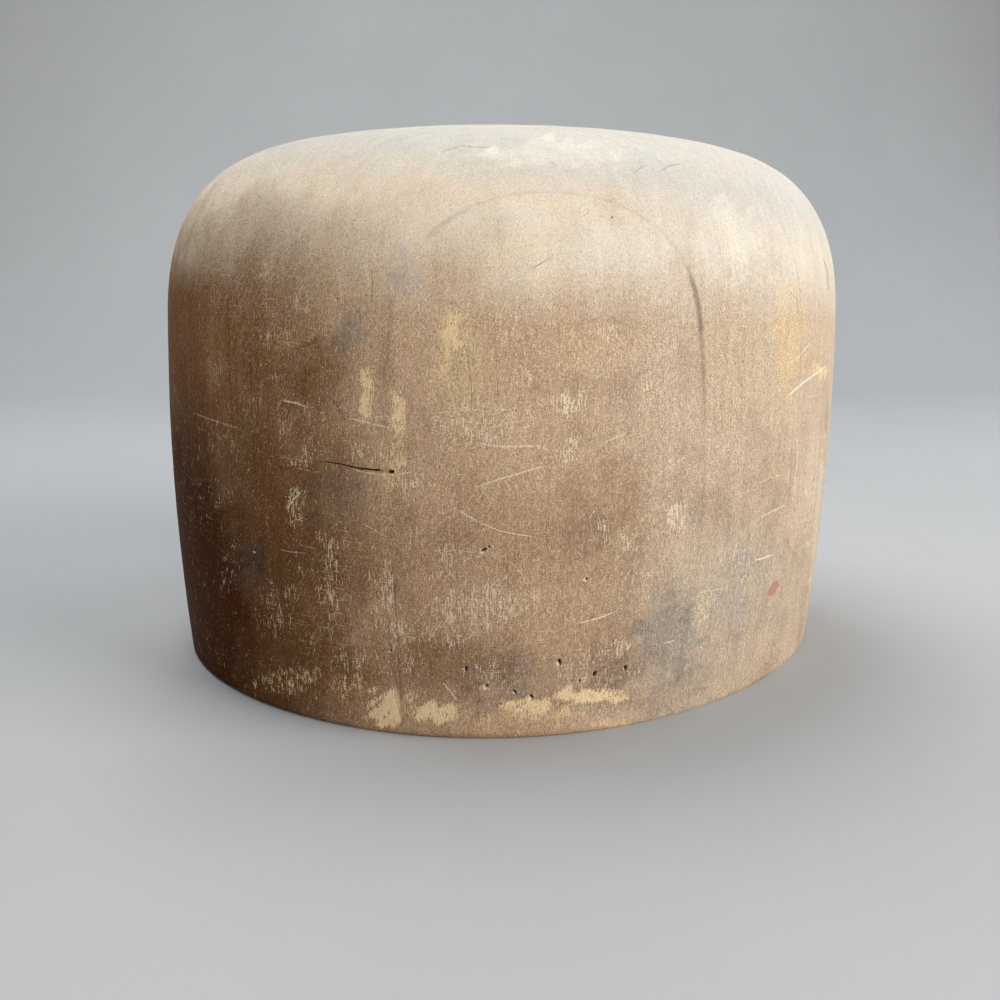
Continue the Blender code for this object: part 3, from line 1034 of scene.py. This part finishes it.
class Shader:
    """Adds and wires a material's nodes."""

    def __init__(self, name):
        self.material = bpy.data.materials.new(name)
        self.material.use_nodes = True
        self.tree = self.material.node_tree
        self.surface = self.tree.nodes["Principled BSDF"]

    def feed(self, socket, value):
        if isinstance(value, Value):
            value = value.socket
        if isinstance(value, bpy.types.NodeSocket):
            self.tree.links.new(value, socket)
        else:
            socket.default_value = value

    def node(self, kind, *values, **settings):
        """A new node, set up, and with the values fed to its first inputs."""
        made = self.tree.nodes.new(kind)
        for name, value in settings.items():
            setattr(made, name, value)
        for socket, value in zip(made.inputs, values):
            self.feed(socket, value)
        return made

    def parts(self, vector):
        """The x, y and z of a vector."""
        made = self.node("ShaderNodeSeparateXYZ", vector)
        return [Value(self, socket) for socket in made.outputs]

    def vector(self, *parts):
        return self.node("ShaderNodeCombineXYZ", *parts).outputs[0]

    def vector_sum(self, operation, a, b):
        return self.node("ShaderNodeVectorMath", a, b, operation=operation).outputs[0]

    def sum(self, operation, a, b=0.0, c=0.0, clamp=False):
        made = self.node("ShaderNodeMath", a, b, c, operation=operation, use_clamp=clamp)
        return Value(self, made.outputs[0])

    def layer(self, name):
        """A layer of the mesh, painted by the charts and tones."""
        made = self.node("ShaderNodeAttribute", attribute_name=name)
        return Value(self, made.outputs["Fac"])

    def noise(self, vector, scale, detail, roughness):
        made = self.node("ShaderNodeTexNoise", vector)
        for name, value in (("Scale", scale), ("Detail", detail), ("Roughness", roughness)):
            made.inputs[name].default_value = value
        return Value(self, made.outputs["Fac"])

    def range(self, value, low, high, to_low=0.0, to_high=1.0):
        """The value run smoothly from to_low at low to to_high at high."""
        numbers = (value, low, high, to_low, to_high)
        made = self.node("ShaderNodeMapRange", *numbers, interpolation_type="SMOOTHSTEP")
        return Value(self, made.outputs[0])

    def total(self, value, *uneven):
        """The value with each of the noises added, to its amount."""
        for noise, amount in uneven:
            value = self.sum("MULTIPLY_ADD", noise, amount, value)
        return value

    def share(self, value, *uneven):
        """The same, kept from 0 to 1."""
        return self.sum("ADD", self.total(value, *uneven), 0.0, clamp=True)

    def patchy(self, name, fade, *uneven):
        """A layer made uneven by the noises, but only where there is some of it."""
        layer = self.layer(name)
        return self.share(layer, *uneven) * self.range(layer, 0.0, fade)

    def mix(self, share, a, b):
        """Colour b laid over colour a, to the share given."""
        made = self.node("ShaderNodeMix", data_type="RGBA")
        self.feed(made.inputs["Factor"], share)
        for name, colour in (("A", a), ("B", b)):
            socket = [s for s in made.inputs if s.name == name and s.type == "RGBA"][0]
            self.feed(socket, (*colour, 1.0) if isinstance(colour, tuple) else colour)
        return [s for s in made.outputs if s.type == "RGBA"][0]


# Colours of the wood, as light that falls on it is given back
TAN = (0.61, 0.415, 0.262)
# The greyish tan below is partly a painted sheen of the light from the forehead end's side.
FAWN_AND_SHEEN = (0.590, 0.455, 0.325)
# The two browns below are partly painted shade: brown at the back end and low down, nearly black at the back
# end's foot.
UMBER_AND_SHADE = (0.260, 0.134, 0.062)
DEEP_BROWN_AND_SHADE = (0.060, 0.017, 0.0025)
# The sandy and chalky colours below are partly a painted sheen of the light on the crown.
SAND_AND_SHEEN = (0.86, 0.720, 0.555)
GREY_SAND_AND_SHEEN = (0.715, 0.635, 0.530)
CHALK_AND_SHEEN = (0.60, 0.600, 0.560)
PINK_CHALK_AND_SHEEN = (0.60, 0.535, 0.455)
WARM_WOOD = (0.69, 0.50, 0.290)
BARE_WOOD = (0.99, 0.745, 0.445)
BARE_SHADE = (0.70, 0.470, 0.240)
SCRATCHED = (0.87, 0.750, 0.545)
SCRATCHED_BROWN = (0.62, 0.40, 0.22)
# Partly a painted sheen where it lightens the rims.
BLEACH_AND_SHEEN = (0.80, 0.745, 0.650)
RED_STAIN = (0.46, 0.18, 0.11)
# Also painted as the shade inside holes and nicks.
GRIME_AND_SHADE = (0.035, 0.022, 0.014)
GLUE = (0.120, 0.080, 0.052)

# Unevenness of the wood: the upright stretch (less is longer fibres), scale, detail, roughness and swing

# In each board by itself
BOARD_NOISES = {
    "sand": (0.8, 3900.0, 0.0, 0.5, 0.16),
    "tick": (0.2, 3600.0, 1.0, 0.5, 0.17),
    "fibre": (0.13, 3700.0, 0.0, 0.5, 0.15),
    "strand": (0.05, 700.0, 2.0, 0.6, 0.17),
}
# Through the whole block
BLOCK_NOISES = {
    "grit": (1.0, 900.0, 2.0, 0.6, 0.17),
    "crumb": (1.0, 260.0, 3.0, 0.6, 0.17),
    "streak": (0.06, 150.0, 3.0, 0.6, 0.17),
    "band": (0.10, 42.0, 2.0, 0.5, 0.17),
    "mottle": (1.0, 62.0, 4.0, 0.62, 0.17),
    "cloud": (1.0, 19.0, 3.0, 0.5, 0.17),
}
BOARD_SHIFT = (0.37, 0.73, 0.19)  # moves the noises from one board to the next

# Sanding scratches: their turns in radians, how strong each is, and their size
SANDING = ((-0.95, 1.0), (1.45, 0.7), (0.05, 0.9))
SANDING_LENGTHENING = 0.06
SANDING_SCALE = 3000.0
SANDED_PATCHES = (48.0, 3.0, 0.6)  # scale, detail and roughness
SANDED_EDGE = (0.46, 0.64)

# Growth rings. Their axes are in front of the block's middle, and each board's own is shifted a little.
RING_SPACING = 0.0032
RING_CENTRE = 0.085
RING_SHIFT_ACROSS = 0.05
RING_SHIFT_ALONG = 0.03
RING_TURNS = (12.9, 7.3)  # radians that the shifts, which swing to and fro, go on by from board to board
RING_BEND = 0.020
RING_BENDING = (22.0, 2.0, 0.5)  # scale, detail and roughness
UPWARD = (0.35, 0.85)  # how far the wood faces up where the sides turn into the crown

SHEEN = 0.02
ROUGHNESS = 0.56
RELIEF_HEIGHT = 0.1 * MM
RELIEF_STRENGTH = 0.5


def wood_noises(s, place, own):
    """Each noise, made to run about from -1 to 1 and a little beyond."""
    noises = {}
    for table, vector in ((BOARD_NOISES, own), (BLOCK_NOISES, place)):
        for name, (upright, scale, detail, roughness, swing) in table.items():
            stretched = s.vector_sum("MULTIPLY", vector, (1.0, 1.0, upright))
            noises[name] = (s.noise(stretched, scale, detail, roughness) - 0.5) / swing
    return SimpleNamespace(**noises)


def growth_rings(s, place, own):
    """Rings about an upright axis of each board's own, by the near side of the block."""
    x, y, _ = s.parts(place)
    bend = RING_BEND * s.noise(s.vector_sum("MULTIPLY", own, (1.0, 1.0, 0.25)), *RING_BENDING)
    sideways, outward = (turn * s.layer("board") for turn in RING_TURNS)
    across = x + RING_SHIFT_ACROSS * s.sum("SINE", sideways)
    along = y + RING_CENTRE + RING_SHIFT_ALONG * s.sum("COSINE", outward)
    reach = s.sum("SQRT", across * across + along * along)
    return s.sum("SINE", (reach + bend) * (2 * math.pi / RING_SPACING))


def patina(s, n):
    """Tan and greyish tan wood, browner at the back end and low down (partly painted shade), sandy and chalky
    above (partly a painted sheen).

    Gives the colour, its share of brown (partly painted shade) and its share of nearly black (mostly painted
    shade).
    """
    colour = s.mix(s.share(s.layer("fawn_and_sheen"), (n.cloud, 0.25)), TAN, FAWN_AND_SHEEN)
    colour = s.mix(s.patchy("warm", 0.3, (n.streak, 0.20), (n.mottle, 0.15)), colour, WARM_WOOD)
    # Painted shade, in part: the brown share.
    umber_and_shade = s.layer("umber_and_shade") + 0.45 * s.layer("dark") - 0.30 * s.layer("light")
    uneven = ((n.mottle, 0.14), (n.band, 0.10), (n.streak, 0.07), (n.crumb, 0.06), (n.strand, 0.03))
    umber_and_shade = s.share(umber_and_shade, *uneven)
    colour = s.mix(umber_and_shade, colour, UMBER_AND_SHADE)
    # Painted shade: the nearly black share at the back end's foot.
    deep = s.layer("deep") + 0.22 * s.layer("dark") - 0.34 * s.layer("light")
    deep = s.share(deep, (n.mottle, 0.10), (n.band, 0.08), (n.streak, 0.05))
    colour = s.mix(deep, colour, DEEP_BROWN_AND_SHADE)

    # Painted sheen, in part: the pale sandy and chalky top.
    top = s.mix(s.share(s.layer("fawn_and_sheen"), (n.cloud, 0.15)), SAND_AND_SHEEN, GREY_SAND_AND_SHEEN)
    sandy = s.patchy("sand", 0.25, (n.mottle, 0.16), (n.cloud, 0.14), (n.streak, 0.08))
    colour = s.mix(sandy, colour, top)
    chalk_and_sheen = s.mix(s.share(0.45, (n.mottle, 0.22), (n.cloud, 0.25)), CHALK_AND_SHEEN, PINK_CHALK_AND_SHEEN)
    colour = s.mix(s.patchy("chalk_and_sheen", 0.25, (n.mottle, 0.15), (n.cloud, 0.12)), colour, chalk_and_sheen)
    return stained(s, n, colour), umber_and_shade, deep


def stained(s, n, colour):
    """Grey stains, and pale places that are partly bleaching and partly a painted sheen, over the colour."""
    grey = s.layer("grey")
    uneven = ((n.mottle, 0.18), (n.crumb, 0.16), (n.grit, 0.12), (n.sand, 0.14), (n.streak, 0.10))
    blot = s.range(s.share(grey, *uneven), 0.05, 1.05) * s.range(grey, 0.0, 0.3)
    dulled = s.node("ShaderNodeHueSaturation")
    s.feed(dulled.inputs["Saturation"], 1.0 - 0.32 * blot)
    s.feed(dulled.inputs["Value"], 1.0 - 0.34 * blot)
    s.feed(dulled.inputs["Color"], colour)
    # Painted sheen, in part: the pale places.
    bleach_and_sheen = s.patchy("pale", 0.3, (n.streak, 0.20), (n.mottle, 0.16), (n.tick, 0.06))
    return s.mix(bleach_and_sheen, dulled.outputs["Color"], BLEACH_AND_SHEEN)


def grained(s, n, colour, umber_and_shade, deep, ring, upward):
    """The colour with a sandy bloom, short upright fibres and growth rings, clearest on the crown."""
    grain = s.total(0.60 * n.sand, (n.tick, 0.46), (n.grit, 0.08), (n.strand, 0.16))
    strong = (1.0 - 0.52 * s.layer("sand")) * (1.0 + 0.5 * (umber_and_shade - 2.1 * deep))
    glint = 0.22 * strong * s.range(grain, 0.35, 1.35)
    colour = s.mix(glint, colour, s.mix(umber_and_shade, SCRATCHED, SCRATCHED_BROWN))
    light = s.total(1.0 + 0.29 * grain * strong, (n.crumb, 0.020), (n.streak, 0.025), (n.mottle, 0.035))
    light = light + ring * (0.012 + 0.008 * upward)
    made = s.node("ShaderNodeVectorMath", colour, operation="SCALE")
    s.feed(made.inputs["Scale"], light)
    return made.outputs[0]


def sanding_lines(s, place, upward):
    """Thin straight lines, slanting and level, on the unrolled side and on the crown."""
    x, y, z = s.parts(place)
    around = UNROLLED_RADIUS * s.sum("ARCTAN2", x, 0.0 - y)
    flat = s.vector(around + upward * (x - around), z + upward * (y - z))
    lines = None
    for turn, strength in SANDING:
        turned = s.node("ShaderNodeVectorRotate", flat, rotation_type="Z_AXIS")
        turned.inputs["Angle"].default_value = turn
        lengthened = s.vector_sum("MULTIPLY", turned.outputs[0], (SANDING_LENGTHENING, 1.0, 1.0))
        drawn = strength * s.range(s.noise(lengthened, SANDING_SCALE, 1.0, 0.5), 0.60, 0.76)
        lines = s.sum("MAXIMUM", lines, drawn) if lines else drawn
    return lines


def sanded(s, colour, scored, patch):
    """The sanding lines, where the wood was sanded. Gives the colour and the lines."""
    lines = scored * s.share(s.layer("scuff") + 0.55 * patch)
    # Browner lines where the back end's foot is painted in shade.
    pale = s.mix(s.layer("deep"), SCRATCHED, SCRATCHED_BROWN)
    return s.mix(0.36 * lines, colour, pale), lines


def flecked(s, n, colour, scored, patch):
    """Pale flecks, along the fibres and the sanding lines. Gives the colour and the flecks."""
    uneven = ((n.sand, 0.34), (n.fibre, 0.62), (n.strand, 0.28), (n.grit, 0.22), (n.crumb, 0.34))
    fleck = s.total(1.7 * s.layer("fleck") + 0.25 * patch + 1.15 * scored, *uneven)
    fleck = s.range(fleck, 1.62, 2.02)
    pale = s.mix(0.6 * s.layer("umber_and_shade"), SCRATCHED, SCRATCHED_BROWN)
    return s.mix(0.82 * fleck, colour, pale), fleck


def worn_bare(s, n, colour):
    """Places worn through to bare wood. Gives the colour and the places."""
    bare = s.layer("bare")
    uneven = ((n.fibre, 0.24), (n.strand, 0.12), (n.grit, 0.14), (n.crumb, 0.16), (n.sand, 0.16))
    bare = s.range(s.total(bare, *uneven), 0.36, 0.80) * s.range(bare, 0.03, 0.25)
    shade = s.share(0.05, (n.fibre, 0.32), (n.sand, 0.22), (n.crumb, 0.20), (n.strand, 0.15))
    return s.mix(0.97 * bare, colour, s.mix(shade, BARE_WOOD, BARE_SHADE)), bare


def marked(s, n, colour):
    """Scratches, the red mark, glue lines, and dark lines and holes painted as grime and shade."""
    scratch = s.layer("scratch")
    ragged = s.total(scratch, (n.grit, 0.12), (n.sand, 0.16))
    scratch = s.range(ragged, 0.10, 0.90) * s.range(scratch, 0.0, 0.15)
    colour = s.mix(0.88 * scratch, colour, SCRATCHED)
    red = s.share(s.layer("red"), (n.grit, 0.26), (n.tick, 0.22), (n.sand, 0.20))
    colour = s.mix(0.80 * s.range(red, 0.40, 0.90), colour, RED_STAIN)
    opened = s.sum("MAXIMUM", s.layer("open"), s.range(n.mottle, 0.3, 2.5, 0.05, 0.30))
    opened = s.share(opened, (n.crumb, 0.06), (n.grit, 0.04))
    colour = s.mix(0.80 * opened * s.range(s.layer("joint"), 0.2, 1.0), colour, GLUE)
    # Painted shade, in part: holes and nicks painted dark, with the grime of the dark lines.
    return s.mix(s.share(s.layer("dirt")), colour, GRIME_AND_SHADE)


def finished(s, n, lines, worn):
    """The sheen of handled wood, duller where it is worn, chalky or stained, and its fine relief."""
    rough = s.share(ROUGHNESS, (n.mottle, 0.03), (n.sand, 0.02)) + 0.06 * s.layer("chalk_and_sheen")
    rough = rough + 0.12 * s.sum("MAXIMUM", worn, s.layer("grey"))
    s.feed(s.surface.inputs["Roughness"], rough)
    s.surface.inputs["Specular IOR Level"].default_value = SHEEN
    rasped = s.total(0.10 * n.sand, (n.tick, 0.09), (n.grit, 0.06), (n.strand, 0.06))
    relief = s.node("ShaderNodeBump")
    relief.inputs["Strength"].default_value = RELIEF_STRENGTH
    relief.inputs["Distance"].default_value = RELIEF_HEIGHT
    s.feed(relief.inputs["Height"], s.total(rasped, (lines, -0.5), (worn, -0.6)))
    s.feed(s.surface.inputs["Normal"], relief.outputs[0])


def worn_wood():
    """The material of every board."""
    s = Shader("worn_wood")
    place = s.node("ShaderNodeTexCoord").outputs["Object"]
    shift = s.vector(*(amount * s.layer("board") for amount in BOARD_SHIFT))
    own = s.vector_sum("ADD", place, shift)  # each board has its own grain
    n = wood_noises(s, place, own)
    upward = s.range(s.parts(s.node("ShaderNodeNewGeometry").outputs["Normal"])[2], *UPWARD)
    colour, umber_and_shade, deep = patina(s, n)
    ring = growth_rings(s, place, own)
    colour = grained(s, n, colour, umber_and_shade, deep, ring, upward)
    scored = sanding_lines(s, place, upward)
    patch = s.range(s.noise(place, *SANDED_PATCHES), *SANDED_EDGE)
    colour, lines = sanded(s, colour, scored, patch)
    colour, fleck = flecked(s, n, colour, scored, patch)
    colour, bare = worn_bare(s, n, colour)
    s.feed(s.surface.inputs["Base Color"], marked(s, n, colour))
    finished(s, n, lines, s.sum("MAXIMUM", bare, fleck))
    return s.material


# The pieces


blank = block_surface()
wood = worn_wood()


def add_piece(node, near, far, shift):
    """The part of the block between two planes. Its shift gives it a grain of its own."""
    mesh = board_mesh(f"{node}_worn", near, far, blank, shift)
    mesh.materials.append(wood)
    piece = bpy.data.objects.new(f"{node}_worn", mesh)
    bpy.context.scene.collection.objects.link(piece)
    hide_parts(node)
    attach(piece, "root")


for place in range(BOARD_COUNT):
    near = place * BOARD_PITCH - outer_plane + JOINT_GAP / 2
    add_piece(f"board_{place + 1}", near, near + BOARD_PITCH - JOINT_GAP, place + 1.0)
add_piece("right_cheek", -1.0, -outer_plane - JOINT_GAP / 2, 0.4)
add_piece("left_cheek", outer_plane + JOINT_GAP / 2, 1.0, 9.6)


# The floor, the light and the camera


FLOOR_REACH = 1.6
BACKDROP_AWAY = 1.1
BACKDROP_BEND = 0.5
BACKDROP_STEPS = 16
BACKDROP_HEIGHT = 2.0
FLOOR_COLOURS = ((0.39, 0.40, 0.41), (0.44, 0.45, 0.46))
FLOOR_MOTTLE = (6.0, 4.0, 0.6)  # scale, detail and roughness
FLOOR_ROUGHNESS = 0.8
BEYOND_FLOOR = (0.44, 0.455, 0.465, 1.0)  # what the camera sees there, which lights nothing
ROOM_LIGHT = (0.96, 0.98, 1.0, 1.0)
ROOM_STRENGTH = 0.10
LIT_PLACE = (0.0, 0.0, 0.08)

# Place, size, watts and colour
LAMPS = {
    "key": ((0.95, -0.62, 0.70), (0.8, 0.6), 13.2, (1.0, 0.98, 0.95)),
    "over": ((-0.25, 0.32, 1.08), (0.9, 0.7), 11.5, (0.97, 0.99, 1.0)),
    "front": ((0.0, -1.20, 0.50), (0.7, 0.7), 4.0, (1.0, 0.98, 0.96)),
    "rim": ((1.25, 0.45, 0.50), (0.5, 0.7), 4.5, (0.92, 0.96, 1.0)),
}


def add_floor():
    """A pale floor that curves up into a backdrop."""
    bend = BACKDROP_BEND
    level = BACKDROP_AWAY - bend
    line = [(-FLOOR_REACH, 0.0), (level, 0.0)]
    for step in range(1, BACKDROP_STEPS + 1):
        turn = math.pi / 2 * step / BACKDROP_STEPS
        line.append((level + bend * math.sin(turn), bend - bend * math.cos(turn)))
    line.append((BACKDROP_AWAY, BACKDROP_HEIGHT))
    points = [(side * FLOOR_REACH, y, z) for y, z in line for side in (-1, 1)]
    quads = [(2 * i, 2 * i + 1, 2 * i + 3, 2 * i + 2) for i in range(len(line) - 1)]
    mesh = bpy.data.meshes.new("floor")
    mesh.from_pydata(points, [], quads)
    mesh.shade_smooth()
    s = Shader("pale_floor")
    place = s.node("ShaderNodeTexCoord").outputs["Object"]
    s.feed(s.surface.inputs["Base Color"], s.mix(s.noise(place, *FLOOR_MOTTLE), *FLOOR_COLOURS))
    s.surface.inputs["Roughness"].default_value = FLOOR_ROUGHNESS
    mesh.materials.append(s.material)
    floor = bpy.data.objects.new("floor", mesh)
    bpy.context.scene.collection.objects.link(floor)


def add_room():
    """Soft light from all round, and a pale surface for the camera to see beyond the floor."""
    world = bpy.data.worlds.new("room")
    world.use_nodes = True
    nodes, wires = world.node_tree.nodes, world.node_tree.links
    light = nodes["Background"]
    light.inputs["Color"].default_value = ROOM_LIGHT
    light.inputs["Strength"].default_value = ROOM_STRENGTH
    seen = nodes.new("ShaderNodeBackground")
    seen.inputs["Color"].default_value = BEYOND_FLOOR
    choice = nodes.new("ShaderNodeMixShader")
    wires.new(nodes.new("ShaderNodeLightPath").outputs["Is Camera Ray"], choice.inputs[0])
    wires.new(light.outputs[0], choice.inputs[1])
    wires.new(seen.outputs[0], choice.inputs[2])
    wires.new(choice.outputs[0], nodes["World Output"].inputs["Surface"])
    bpy.context.scene.world = world


def add_lamps():
    for name, (place, size, power, colour) in LAMPS.items():
        data = bpy.data.lights.new(name, "AREA")
        data.shape = "RECTANGLE"
        data.size, data.size_y = size
        data.energy = power
        data.color = colour
        lamp = bpy.data.objects.new(name, data)
        lamp.location = place
        lamp.rotation_mode = "QUATERNION"
        lamp.rotation_quaternion = (Vector(LIT_PLACE) - Vector(place)).to_track_quat("-Z", "Y")
        bpy.context.scene.collection.objects.link(lamp)


add_floor()
add_room()
add_lamps()
add_camera()
bpy.context.scene.view_settings.view_transform = "Standard"
